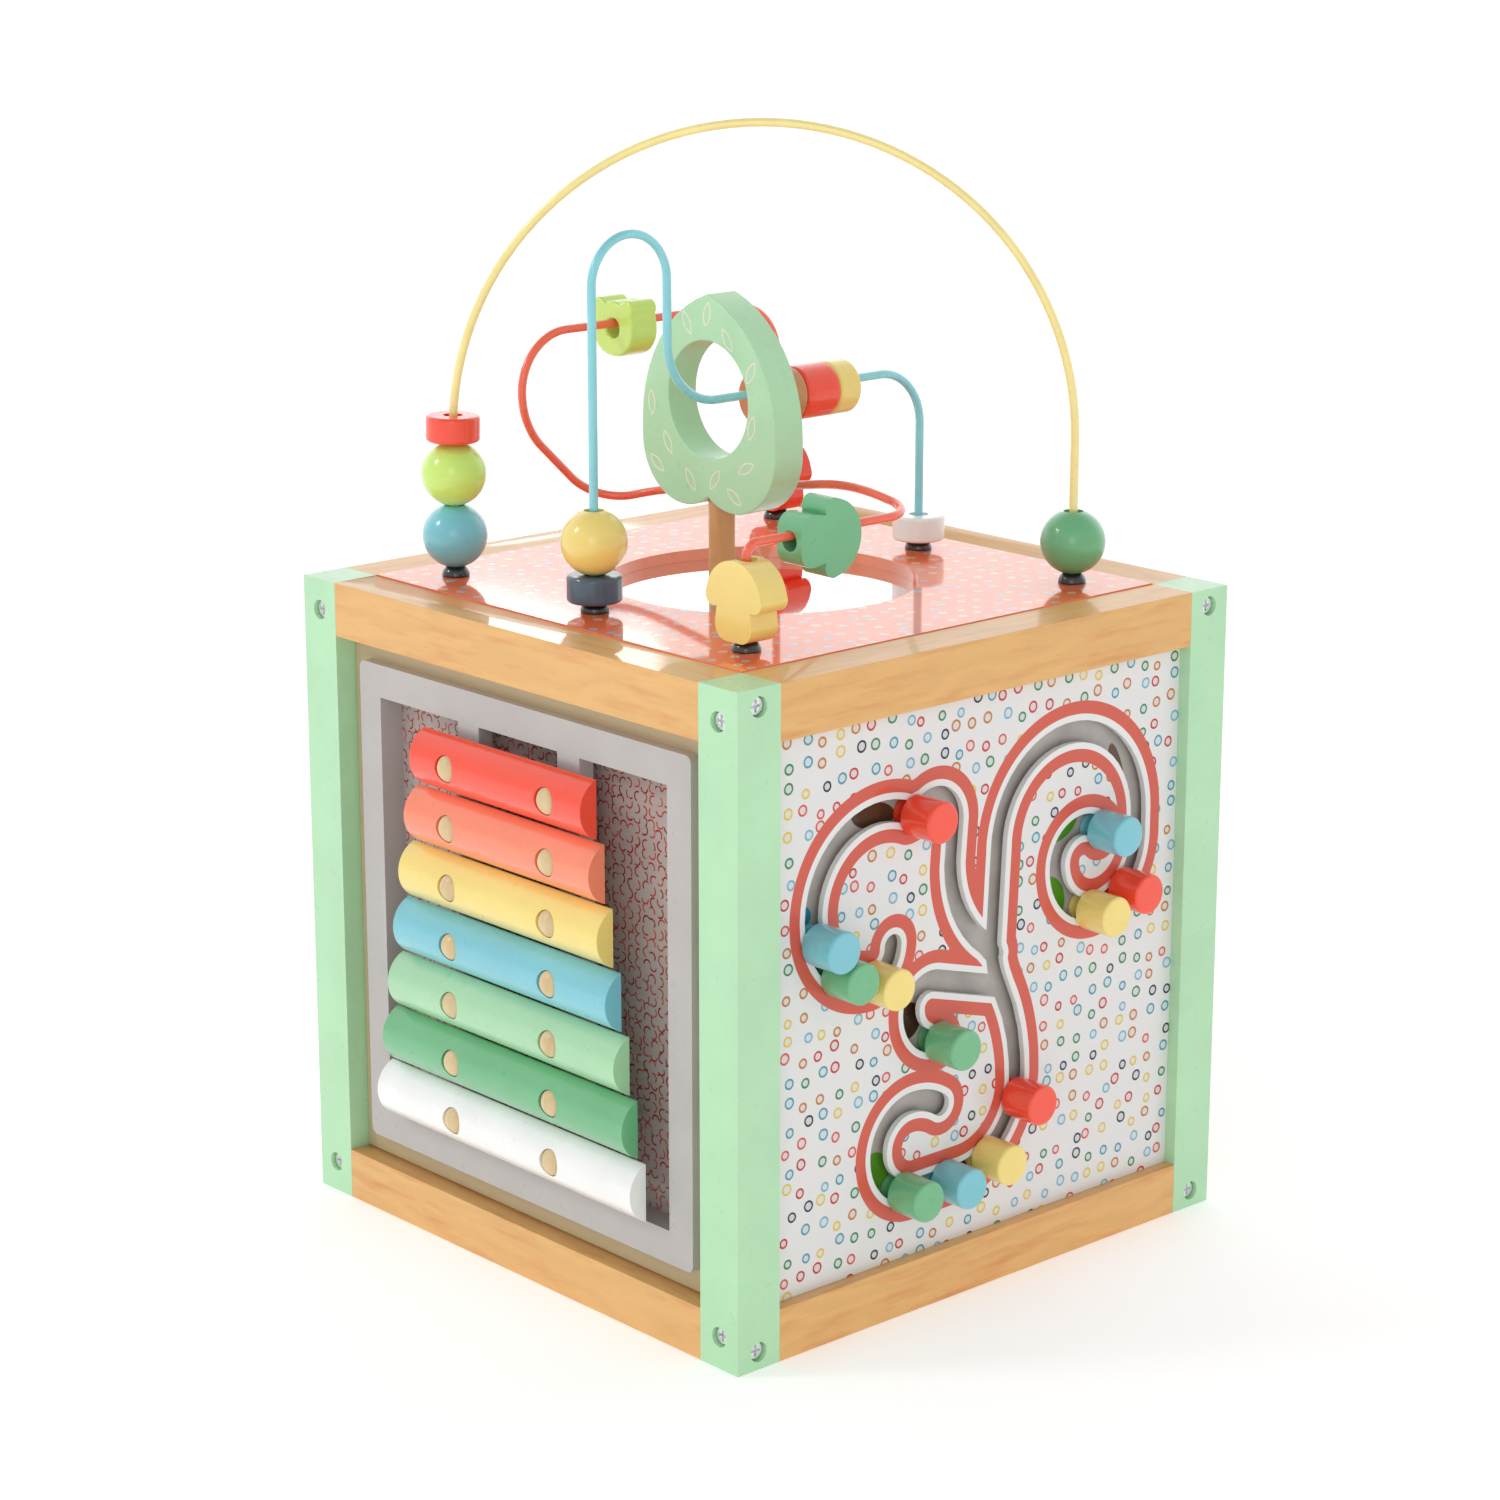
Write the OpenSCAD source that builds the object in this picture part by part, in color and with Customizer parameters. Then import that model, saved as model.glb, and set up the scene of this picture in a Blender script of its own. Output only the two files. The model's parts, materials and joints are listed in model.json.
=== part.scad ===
// Wooden activity cube: a post-and-rail box with a xylophone on the front, a groove maze on the
// right, and three bead wires and a tree standing on its mirrored top.
// Front is -Y, right is +X, up is +Z. The origin is the middle of the base.

/* [Cube] */
// Width, depth and height of the wooden cube
cube_size = 300; // [280:5:320]
// Thickness of the corner posts and of the rails
post_w = 24; // [22:1:26]
// Height of the top rails
top_rail_h = 25; // [22:1:26]
// Thickness of the base panel
base_t = 5; // [3:1:8]
// Depth at which the side panels lie behind the post faces
panel_recess = 6; // [4:1:8]

/* [Top] */
// Radius of the round window over the mirror
mirror_window_r = 72; // [60:1:72]
// Thickness of the coloured top panel
top_panel_t = 5.5; // [4:0.1:6]
// Half of the distance between the feet of the bead wires
foot_pitch = 100; // [95:1:102]
// Radius of the bead wires
wire_r = 2; // [1.5:0.25:2.25]

/* [Beads] */
// Radius of the round beads
ball_r = 14.9; // [13:0.1:15]
// Radius of the cylindrical beads
drum_r = 12.4; // [11:0.1:13]
// Radius of the holes through the beads
bead_bore_r = 4.5; // [4:0.25:5]

/* [Xylophone] */
// Length of the shortest bar
first_bar_l = 120; // [110:1:124]
// How much longer each bar is than the one above it
bar_l_step = 10.2; // [8:0.2:11]
// Height of a bar
bar_h = 26.6; // [24:0.2:27]

/* [Maze] */
// Width of the groove in the maze board
groove_w = 10; // [9.6:0.1:10.4]
// Radius of the maze knobs
knob_r = 9.3; // [8:0.1:9.3]
// Length of the maze knobs
knob_l = 17.7; // [12:0.1:20]

/* [Hidden] */

$fn = 64;
half = cube_size / 2;
inner = half - post_w;                 // half of the clear space between posts
post_mid = half - post_w / 2;
over = 1;                              // how far a cutter passes through a face

// Colours
mint = "#B8E3BF";
pine = "#E6BC82";
coral = "#FF8F70";
red = "#FF6548";
yellow = "#F3DE84";
blue = "#7CC8D6";
green = "#6DBB83";
lime = "#CBEF6E";
navy = "#4B6173";
grey = "#C8C2BE";
black = "#2A2D2C";

// ---- posts, rails, screws ----
screw_shaft_r = 2;
screw_hole_r = 2.1;
screw_head_r = 3.8;
screw_head_t = 2.4;
screw_recess_r = 4.5;
screw_recess_d = 4.6;
screw_l = 50;
x_screw_z = [8, cube_size - 8];        // screws driven along X into the front and rear rails
y_screw_z = [14.5, cube_size - 14.5];  // screws driven along Y into the side rails
driver_slot_w = 1.3;
driver_slot_l = 5.4;
driver_slot_d = 1.6;

// Puts a child drawn along -Z, with its head at the origin, at each of the 16 screw places
module at_screws() {
    for (side = [-1, 1], other = [-1, 1]) {
        for (z = x_screw_z)
            translate([side * half, other * post_mid, z]) rotate([0, side * 90, 0]) children();
        for (z = y_screw_z)
            translate([other * post_mid, side * half, z]) rotate([-side * 90, 0, 0]) children();
    }
}

module screw() {
    translate([0, 0, -screw_recess_d]) difference() {
        union() {
            cylinder(r = screw_head_r, h = screw_head_t);
            translate([0, 0, -screw_l]) cylinder(r = screw_shaft_r, h = screw_l + over, $fn = 32);
        }
        for (turn = [0, 90])
            rotate(turn) translate([-driver_slot_l / 2, -driver_slot_w / 2, screw_head_t - driver_slot_d])
                cube([driver_slot_l, driver_slot_w, driver_slot_d + over]);
    }
}

module screw_cutter() {
    translate([0, 0, -screw_recess_d]) {
        cylinder(r = screw_recess_r, h = screw_recess_d + over);
        translate([0, 0, -screw_l - over]) cylinder(r = screw_hole_r, h = screw_l + 2 * over, $fn = 32);
    }
}

module corner_posts() {
    color(mint) difference() {
        for (sx = [-1, 1], sy = [-1, 1])
            translate([sx * post_mid - post_w / 2, sy * post_mid - post_w / 2, 0])
                cube([post_w, post_w, cube_size]);
        at_screws() screw_cutter();
    }
}

module rail_ring(z, height) {
    difference() {
        for (turn = [0, 90, 180, 270])
            rotate(turn) translate([-inner, -half, z]) cube([2 * inner, post_w, height]);
        at_screws() screw_cutter();
    }
}

module top_rails() {
    color(pine) rail_ring(cube_size - top_rail_h, top_rail_h);
}

module bottom_rails() {
    color(pine) rail_ring(0, post_w);
}

module assembly_screws() {
    color("silver") at_screws() screw();
}

// ---- flat panels ----
side_panel_t = 5;
window = [post_w, cube_size - top_rail_h]; // lowest and highest z of the side panels

// A sheet on the +X side: its outer face is `back` behind the post faces
module right_sheet(back, t, lo = -inner, hi = inner) {
    translate([half - back - t, lo, window[0]]) cube([t, hi - lo, window[1] - window[0]]);
}

module base_panel() {
    color(pine) translate([-inner, -inner, 0]) cube([2 * inner, 2 * inner, base_t]);
}

module left_panel() {
    color("white") rotate(180) right_sheet(panel_recess, side_panel_t);
}

module rear_panel() {
    color(grey) rotate(90) right_sheet(panel_recess, side_panel_t);
}

// ---- top: support board, mirror, coloured panel ----
board_top_z = cube_size - 5;
board_t = 10;
mirror_t = 3;
mirror_r = mirror_window_r + 3;
nut_t = 5.5;
nut_r = 4.6;
wire_thread = 1;                       // how far a wire reaches past its nut
trunk_r = 6;
trunk_at = [0, -25];
trunk_foot_z = board_top_z - 7;
trunk_top_z = 353;
fit_gap = 0.05;                        // radial gap of a glued or driven fit

feet = foot_pitch * [[-1, -1], [0, -1], [1, -1], [0, 1], [1, 1], [-1, 1]];

module top_sheet(z, t) {
    translate([-inner, -inner, z]) cube([2 * inner, 2 * inner, t]);
}

module at_feet(z) {
    for (foot = feet)
        translate([foot[0], foot[1], z]) children();
}

module top_support_board() {
    color(pine) difference() {
        top_sheet(board_top_z - board_t, board_t);
        translate([0, 0, board_top_z - mirror_t])
            cylinder(r = mirror_r + fit_gap, h = mirror_t + over, $fn = 128);
        at_feet(board_top_z - board_t - over)
            cylinder(r = wire_r + fit_gap, h = board_t + 2 * over, $fn = 32);
        translate([trunk_at[0], trunk_at[1], trunk_foot_z]) cylinder(r = trunk_r + fit_gap, h = board_t);
    }
}

module mirror_disc() {
    color("white") difference() {
        translate([0, 0, board_top_z - mirror_t]) cylinder(r = mirror_r, h = mirror_t, $fn = 128);
        translate([trunk_at[0], trunk_at[1], board_top_z - mirror_t - over])
            cylinder(r = trunk_r + fit_gap, h = mirror_t + 2 * over);
    }
}

module top_panel() {
    color(coral) difference() {
        top_sheet(board_top_z, top_panel_t);
        translate([0, 0, board_top_z - over])
            cylinder(r = mirror_window_r, h = top_panel_t + 2 * over, $fn = 128);
        at_feet(board_top_z - over) cylinder(r = wire_r + fit_gap, h = top_panel_t + 2 * over, $fn = 32);
    }
}

cap_r = 6.4;
cap_h = 6.2;
cap_band = 1.2;                        // straight lower part of a cap
panel_top_z = board_top_z + top_panel_t;

module wire_caps() {
    color(black) at_feet(panel_top_z) difference() {
        domed_button(cap_r, cap_band, cap_h);
        translate([0, 0, -over]) cylinder(r = wire_r + fit_gap, h = cap_h + 2 * over, $fn = 32);
    }
}

// Radius of the ball whose cap is h high and r wide to each side
function dome_ball(r, h) = (r * r + h * h) / (2 * h);

// A button of radius r about Z: straight from z = 0 up to `band`, then domed up to h
module domed_button(r, band, h) {
    dome_h = h - band;
    ball = dome_ball(r, dome_h);
    rotate_extrude() polygon(concat(
        [[0, 0], [r, 0]], arc([0, h - ball], ball, asin((ball - dome_h) / ball), 90)
    ));
}

// Height above the cap's foot at which its dome has narrowed to radius r
function cap_height_at(r) =
    let (ball = dome_ball(cap_r, cap_h - cap_band))
    cap_h - ball + sqrt(ball * ball - r * r);

module wire_nuts() {
    color("silver") at_feet(board_top_z - board_t - nut_t) difference() {
        cylinder(r = nut_r, h = nut_t, $fn = 6);
        translate([0, 0, -over]) cylinder(r = wire_r + fit_gap, h = nut_t + 2 * over, $fn = 32);
    }
}

// ---- bead wires ----
wire_end_z = board_top_z - board_t - nut_t - wire_thread;

function unit(v) = v / norm(v);

// Length cut off on each side of a corner by a bend of radius r
function bend_cut(a, b, c, r) =
    let (u = unit(b - a), v = unit(c - b))
    r * tan(acos(u * v) / 2);

// A round bar along p[0], p[1] ... with the bend radius bends[i] at the corner p[i + 1]
module bent_wire(p, bends) {
    last = len(p) - 1;
    cuts = [for (i = [0:last]) i == 0 || i == last ? 0 : bend_cut(p[i - 1], p[i], p[i + 1], bends[i - 1])];
    union() {
        for (i = [0:last - 1])
            bar_between(p[i], p[i + 1], cuts[i], cuts[i + 1]);
        for (i = [1:last - 1])
            bend_at(p[i - 1], p[i], p[i + 1], bends[i - 1], cuts[i]);
    }
}

// Straight part from a to b, shortened at both ends
module bar_between(a, b, cut_a, cut_b) {
    u = unit(b - a);
    length = norm(b - a) - cut_a - cut_b;
    if (length > 0.01)
        translate(a + u * cut_a) rotate([0, acos(u[2]), atan2(u[1], u[0])])
            cylinder(r = wire_r, h = length, $fn = 32);
}

// Bend of radius r at corner b, starting `cut` before it
module bend_at(a, b, c, r, cut) {
    u = unit(b - a);
    v = unit(c - b);
    inward = unit(v - u * (u * v));
    centre = b - u * cut + inward * r;
    normal = cross(-inward, u);
    multmatrix([
        [-inward[0], u[0], normal[0], centre[0]],
        [-inward[1], u[1], normal[1], centre[1]],
        [-inward[2], u[2], normal[2], centre[2]],
        [0, 0, 0, 1]
    ])
        rotate_extrude(angle = acos(u * v), $fn = 128) translate([r, 0]) circle(r = wire_r, $fn = 32);
}

arch_r = foot_pitch * sqrt(2);
arch_z = 366.6;                        // height of the arch's centre

module arch_wire() {
    color(yellow) rotate(45) {
        for (side = [-1, 1])
            translate([side * arch_r, 0, wire_end_z]) cylinder(r = wire_r, h = arch_z - wire_end_z, $fn = 32);
        translate([0, 0, arch_z]) rotate([90, 0, 0])
            rotate_extrude(angle = 180, $fn = 128) translate([arch_r, 0]) circle(r = wire_r, $fn = 32);
    }
}

loop_z = 465;                          // top of the narrow loop
run_z = 386.8;                         // height of the level run through the tree
loop_back_y = -57;
loop_bend = 21.4;

module loop_wire() {
    color(blue) bent_wire([
        [0, -foot_pitch, wire_end_z], [0, -foot_pitch, loop_z], [0, loop_back_y, loop_z],
        [0, loop_back_y, run_z], [0, foot_pitch, run_z], [0, foot_pitch, wire_end_z]
    ], [loop_bend, loop_bend, 29, 26]);
}

level_z = 346.6;                       // run of the green mushroom bead
upper_z = 407.5;                       // run of the lime bead
winding_front_y = -59.5;
winding_corners = [
    [foot_pitch, -foot_pitch, wire_end_z], [foot_pitch, -foot_pitch, level_z], [foot_pitch, 0, level_z],
    [58, 0, 353.3], [-72, 0, 331.7], [-foot_pitch, -16, 323.5], [-foot_pitch, winding_front_y, 365],
    [-foot_pitch, winding_front_y, upper_z], [-foot_pitch, foot_pitch, upper_z],
    [-foot_pitch, foot_pitch, wire_end_z]
];
winding_bends = [6, 17, 120, 45, 24, 36, 27, 26];
winding_sides = 12;

// Points along the bend of radius r at corner b
function bend_points(a, b, c, r) =
    let (
        u = unit(b - a), v = unit(c - b), turn = acos(u * v), inward = unit(v - u * (u * v)),
        centre = b - u * bend_cut(a, b, c, r) + inward * r, n = ceil(turn / 13)
    )
    [for (i = [0:n]) centre + r * (u * sin(turn * i / n) - inward * cos(turn * i / n))];

function bent_path(p, bends) =
    let (last = len(p) - 1)
    concat(
        [p[0]],
        [for (i = [1:last - 1]) each bend_points(p[i - 1], p[i], p[i + 1], bends[i - 1])],
        [p[last]]
    );

// Direction of a path at point i, halfway between its two neighbouring stretches
function path_direction(path, i) =
    i == 0 ? unit(path[1] - path[0])
    : i == len(path) - 1 ? unit(path[i] - path[i - 1])
    : unit(unit(path[i + 1] - path[i]) + unit(path[i] - path[i - 1]));

// One sideways vector for each point, carried along the path without twisting
function side_vectors(path, i = 0, side = [1, 0, 0]) =
    i == len(path) ? []
    : let (d = path_direction(path, i), s = unit(side - d * (side * d)))
    concat([s], side_vectors(path, i + 1, s));

// A round bar along a path that bends in all directions, as one mesh
module swept_wire(path, sides) {
    rings = len(path);
    side = side_vectors(path);
    points = [
        for (i = [0:rings - 1], k = [0:sides - 1])
            let (a = 360 * k / sides)
            path[i] + wire_r * (side[i] * cos(a) + cross(path_direction(path, i), side[i]) * sin(a))
    ];
    walls = [
        for (i = [0:rings - 2], k = [0:sides - 1])
            let (a = i * sides + k, b = i * sides + (k + 1) % sides)
            each [[a, a + sides, b], [b, a + sides, b + sides]]
    ];
    ends = [[for (k = [0:sides - 1]) k], [for (k = [sides - 1:-1:0]) (rings - 1) * sides + k]];
    polyhedron(points, concat(walls, ends));
}

module winding_wire() {
    color(red) swept_wire(bent_path(winding_corners, winding_bends), winding_sides);
}

// ---- tree ----
crown_t = 17;
crown_w = 90;
crown_hole_r = 26.7;
crown_hole_z = 387;
lobe_r = 28.5;
lobe_x = 16.5;
lobe_z = 366;
crown_side_z = 373.5;                  // where the flanks start to curve in
flank_r = 64;

// Points on a circle about c from angle a to angle b, one every `step` degrees or less
function arc(c, r, a, b, step = 8) =
    let (n = ceil(abs(b - a) / step))
    [for (i = [0:n]) let (t = a + (b - a) * i / n) c + r * [cos(t), sin(t)]];

function mirrored(points) = [for (i = [len(points) - 1:-1:0]) [-points[i][0], points[i][1]]];

// Right half of the crown's outline, from the notch at the bottom to the tip
crown_half = concat(
    arc([lobe_x, lobe_z], lobe_r, -90 - asin(lobe_x / lobe_r), 0),
    arc([crown_w / 2 - flank_r, crown_side_z], flank_r, 0, acos((flank_r - crown_w / 2) / flank_r) - 0.5)
);

module tree_trunk() {
    color("#C99664") translate([trunk_at[0], trunk_at[1], trunk_foot_z])
        cylinder(r = trunk_r, h = trunk_top_z - trunk_foot_z);
}

module tree_crown() {
    color(mint) difference() {
        translate([0, trunk_at[1] + crown_t / 2, 0]) rotate([90, 0, 0])
            linear_extrude(crown_t) polygon(concat(crown_half, mirrored(crown_half)));
        translate([0, trunk_at[1], crown_hole_z]) rotate([90, 0, 0])
            cylinder(r = crown_hole_r, h = crown_t + 2 * over, center = true, $fn = 96);
        translate([trunk_at[0], trunk_at[1], lobe_z - lobe_r])
            cylinder(r = trunk_r + fit_gap, h = trunk_top_z + 1 - lobe_z + lobe_r);
    }
}

// ---- xylophone ----
surround_y = -139.5;                   // front face of the plywood surround
back_y = -132.5;                       // front face of the patterned back
frame_y = -144.8;                      // front face of the grey frame
frame_half = 115.3;
frame_mid_z = 150;
frame_corner_r = 3.5;
frame_opening = 100;                   // half of the opening
sleeve_t = 4;
support_x = 35;
support_w = 15;
support_back_y = -137;
back_t = 3.5;

// A block between two corner points
module block(lo, hi) {
    translate(lo) cube(hi - lo);
}

module xylophone_surround() {
    opening = frame_opening + sleeve_t;
    color("#D9C7A3") difference() {
        block([-inner, surround_y, window[0]], [inner, back_y, window[1]]);
        block(
            [-opening, surround_y - over, frame_mid_z - opening],
            [opening, back_y + over, frame_mid_z + opening]
        );
    }
}

module rounded_plate(half_w, r, t) {
    corner = half_w - r;
    linear_extrude(t) polygon(concat(
        arc([corner, corner], r, 0, 90, 15), arc([-corner, corner], r, 90, 180, 15),
        arc([-corner, -corner], r, 180, 270, 15), arc([corner, -corner], r, 270, 360, 15)
    ));
}

module xylophone_frame() {
    sleeve = frame_opening + sleeve_t;
    color(grey) difference() {
        union() {
            difference() {
                union() {
                    translate([0, surround_y, frame_mid_z]) rotate([90, 0, 0])
                        rounded_plate(frame_half, frame_corner_r, surround_y - frame_y);
                    block(
                        [-sleeve, surround_y - over, frame_mid_z - sleeve],
                        [sleeve, back_y, frame_mid_z + sleeve]
                    );
                }
                block([-frame_opening, frame_y - over, frame_mid_z - frame_opening],
                      [frame_opening, back_y + over, frame_mid_z + frame_opening]);
            }
            for (side = [-1, 1])
                block([side * support_x - support_w / 2, frame_y, frame_mid_z - frame_opening - over],
                      [side * support_x + support_w / 2, support_back_y, frame_mid_z + frame_opening + over]);
        }
        at_pegs() translate([0, 0, -over]) cylinder(r = peg_r + fit_gap, h = peg_l, $fn = 32);
    }
}

module xylophone_back() {
    color(grey) block([-inner, back_y, window[0]], [inner, back_y + back_t, window[1]]);
}

bar_count = 7;
bar_pitch = 27.6;
top_bar_z = 231.7;                     // middle of the highest bar
bar_back_y = -150;
bar_t = 9.2;
bar_curve_r = (bar_h * bar_h / 4 + bar_t * bar_t) / (2 * bar_t);
peg_r = 3;
peg_head_r = 6;
peg_recess_r = 6.3;
peg_recess_d = 3.4;
peg_head_t = 1.6;
peg_dome = 3.4;
peg_seat_y = bar_back_y - bar_t + peg_recess_d;
peg_l = support_back_y - peg_seat_y - 1.5;
washer_r = 7;

// Puts a child drawn along +Z from the peg's seat, pointing into the cube, at each peg
module at_pegs() {
    for (i = [0:bar_count - 1], side = [-1, 1])
        at_bar_peg(i, side) children();
}

module at_bar_peg(i, side) {
    translate([side * support_x, peg_seat_y, top_bar_z - i * bar_pitch]) rotate([-90, 0, 0]) children();
}

module xylophone_bar(i, shade) {
    length = first_bar_l + i * bar_l_step;
    z = top_bar_z - i * bar_pitch;
    color(shade) difference() {
        intersection() {
            translate([0, bar_back_y - bar_t + bar_curve_r, z]) rotate([0, 90, 0])
                cylinder(r = bar_curve_r, h = length, center = true, $fn = 96);
            block(
                [-length / 2, bar_back_y - bar_t - over, z - bar_h / 2],
                [length / 2, bar_back_y, z + bar_h / 2]
            );
        }
        for (side = [-1, 1])
            at_bar_peg(i, side) {
                translate([0, 0, -peg_recess_d - over]) cylinder(r = peg_recess_r, h = peg_recess_d + over);
                cylinder(r = peg_r + fit_gap, h = bar_t, $fn = 32);
            }
    }
}

module bar_red() { xylophone_bar(0, red); }
module bar_coral() { xylophone_bar(1, "#FF9A7C"); }
module bar_yellow() { xylophone_bar(2, yellow); }
module bar_blue() { xylophone_bar(3, blue); }
module bar_mint() { xylophone_bar(4, mint); }
module bar_green() { xylophone_bar(5, green); }
module bar_white() { xylophone_bar(6, "white"); }

module bar_pegs() {
    color("#E0C08C") at_pegs() {
        cylinder(r = peg_r, h = peg_l - over, $fn = 32);
        rotate([180, 0, 0]) domed_button(peg_head_r, peg_head_t, peg_head_t + peg_dome);
    }
}

module felt_washers() {
    color("#B9B2AC") at_pegs() translate([0, 0, bar_back_y - peg_seat_y]) difference() {
        cylinder(r = washer_r, h = frame_y - bar_back_y);
        translate([0, 0, -over]) cylinder(r = peg_r + fit_gap, h = bar_t, $fn = 32);
    }
}

// ---- maze ----
// The maze is drawn as seen from the right: first number along Y, second along Z.
maze_board_t = 3;
maze_cavity = 2.6;                     // room behind the board for the knobs' feet
maze_floor_t = 3;
maze_rim_w = 10;

low_hook = [-41.5, 65.5];              // centres of the groove's bends
low_loop = [-41.5, 75];
low_turn = [-14, 92.5];
stem_bend = [-66, 92.5];
stem_return = [57.6, 158.3];
big_arch = [55.2, 200.5];
spiral_out = [71.6, 190];
spiral_low = [71.6, 184.9];
spiral_in = [64.2, 184.9];
fork_bend = [31, 200];
fork_top = [-30, 219.5];
crest = [-61.5, 191.5];
left_loop = [-67.5, 191.5];
left_hook = [-67.5, 170.5];
middle_top = [-31, 137];
middle_end = [-26.5, 137];

low_loop_r = 20.5;
low_turn_r = 38;
low_run_y = -21.5;                     // place of the blue knob on the level stretch
spiral_out_r = 29;
spiral_low_r = 23.9;
spiral_in_r = 16.5;
crest_r = 40;
left_loop_r = 34;
left_hook_r = 13;
middle_end_r = 16.5;

main_groove = concat(
    arc(low_hook, 30, 54.3, 90), arc(low_loop, low_loop_r, 98, 270), arc(low_turn, low_turn_r, 270, 360),
    arc(stem_bend, 90, 5, 28), arc(stem_return, 50, 200, 180), arc(big_arch, 45.4, 180, 0),
    arc(spiral_out, spiral_out_r, 0, -90), arc(spiral_low, spiral_low_r, -98, -180),
    arc(spiral_in, spiral_in_r, 172, 46)
);
left_groove = concat(
    [[9, 152]], arc(fork_bend, 50, 235, 180), arc(fork_top, 12.5, 0, 125), [[-40, 227.8], [-42.8, 227]],
    arc(crest, crest_r, 66, 180), arc(left_loop, left_loop_r, 188, 270), arc(left_hook, left_hook_r, -82, 0)
);
middle_groove = concat([[12, 137]], arc(middle_top, 12, 72.7, 180), arc(middle_end, middle_end_r, 190, 270));

// Direction of a path at its point i
function heading(path, i) =
    unit(path[min(i + 1, len(path) - 1)] - path[max(i - 1, 0)]);

// Point i moved sideways by d
function sidestep(path, i, d) =
    let (h = heading(path, i))
    path[i] + d * [-h[1], h[0]];

// Outline of a band of half width w along a path, with round ends
function band(path, w) =
    let (n = len(path) - 1, first = heading(path, 0), last = heading(path, n))
    concat(
        [for (i = [0:n]) sidestep(path, i, -w)],
        arc(path[n], w, atan2(last[1], last[0]) - 75, atan2(last[1], last[0]) + 75, 15),
        [for (i = [n:-1:0]) sidestep(path, i, w)],
        arc(path[0], w, atan2(first[1], first[0]) + 105, atan2(first[1], first[0]) + 255, 15)
    );

// Stands a drawing made in Y and Z up, facing +X, with its foot at x
module facing_right(x) {
    translate([x, 0, 0]) rotate([90, 0, 90]) children();
}

maze_face_x = half - panel_recess;
maze_back_x = maze_face_x - maze_board_t;
maze_floor_x = maze_back_x - maze_cavity;

module maze_board() {
    color("white") difference() {
        right_sheet(panel_recess, maze_board_t);
        for (path = [main_groove, left_groove, middle_groove])
            facing_right(maze_back_x - over) linear_extrude(maze_board_t + 2 * over)
                polygon(band(path, groove_w / 2));
    }
}

module maze_floor() {
    color("#8E8A86") difference() {
        right_sheet(panel_recess + maze_board_t, maze_cavity + maze_floor_t);
        block([maze_floor_x, -inner + maze_rim_w, window[0] + maze_rim_w],
              [maze_back_x + over, inner - maze_rim_w, window[1] - maze_rim_w]);
    }
}

maze_gap = 0.3;
stem_r = 4.3;
foot_r = 7.5;
knob_edge = 1.2;
knob_base_x = maze_face_x + maze_gap;
foot_t = maze_cavity - 2 * maze_gap;

// A solid of revolution about Z: radius r, height h, with rounded rims
module rounded_drum(r, h, edge) {
    rotate_extrude() polygon(concat(
        [[0, 0]],
        arc([r - edge, edge], edge, -90, 0, 22.5),
        arc([r - edge, h - edge], edge, 0, 90, 22.5),
        [[0, h]]
    ));
}

// A knob at angle a on the bend about c with radius r: grip, neck in the groove and hidden foot
module maze_knob(c, r, a, shade) {
    place = c + r * [cos(a), sin(a)];
    color(shade) translate([maze_floor_x + maze_gap, place[0], place[1]]) rotate([0, 90, 0]) {
        cylinder(r = foot_r, h = foot_t);
        cylinder(r = stem_r, h = knob_base_x - maze_floor_x - maze_gap + over);
        translate([0, 0, knob_base_x - maze_floor_x - maze_gap]) rounded_drum(knob_r, knob_l, knob_edge);
    }
}

module knob_red_crest() { maze_knob(crest, crest_r, 62.2, red); }
module knob_blue_left() { maze_knob(left_loop, left_loop_r, 197.7, blue); }
module knob_green_left() { maze_knob(left_loop, left_loop_r, 231.6, green); }
module knob_yellow_hook() { maze_knob(left_hook, left_hook_r, 270, yellow); }
module knob_green_middle() { maze_knob(middle_end, middle_end_r, 270, green); }
module knob_red_low() { maze_knob(low_turn, low_turn_r, -15, red); }
module knob_yellow_low() { maze_knob(low_turn, low_turn_r, -61.7, yellow); }
module knob_blue_low() { maze_knob([low_run_y, low_turn[1]], low_turn_r, -90, blue); }
module knob_green_low() { maze_knob(low_loop, low_loop_r, -109, green); }
module knob_blue_spiral() { maze_knob(spiral_in, spiral_in_r, 50, blue); }
module knob_red_spiral() { maze_knob(spiral_out, spiral_out_r, -50.9, red); }
module knob_yellow_spiral() { maze_knob(spiral_low, spiral_low_r, -97.5, yellow); }

// ---- beads ----
bead_gap = 0.3;
drum_l = 12;
drum_edge = 1.5;
hang = bead_bore_r - wire_r - 0.1;     // how far a bead hangs below a level wire
stack_z = panel_top_z + cap_height_at(bead_bore_r) + bead_gap;  // beads sit over the domes of the caps
ball_h = 2 * sqrt(ball_r * ball_r - bead_bore_r * bead_bore_r);  // between the rims of a ball's hole

module bead_bore(length) {
    translate([0, 0, -over]) cylinder(r = bead_bore_r, h = length + 2 * over, $fn = 48);
}

// A round bead whose lower rim stands on z
module ball_bead(foot, z, shade) {
    color(shade) translate([foot[0], foot[1], z]) difference() {
        translate([0, 0, ball_h / 2]) sphere(r = ball_r, $fn = 96);
        bead_bore(2 * ball_r);
    }
}

// A cylindrical bead along +Z from z = 0
module drum(length) {
    difference() {
        rounded_drum(drum_r, length, drum_edge);
        bead_bore(length);
    }
}

module standing_drum(foot, shade) {
    color(shade) translate([foot[0], foot[1], stack_z]) drum(drum_l);
}

// A drum on the level run of the loop wire, starting at y
module run_drum(y, length, shade) {
    color(shade) translate([0, y, run_z - hang]) rotate([-90, 0, 0]) drum(length);
}

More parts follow.
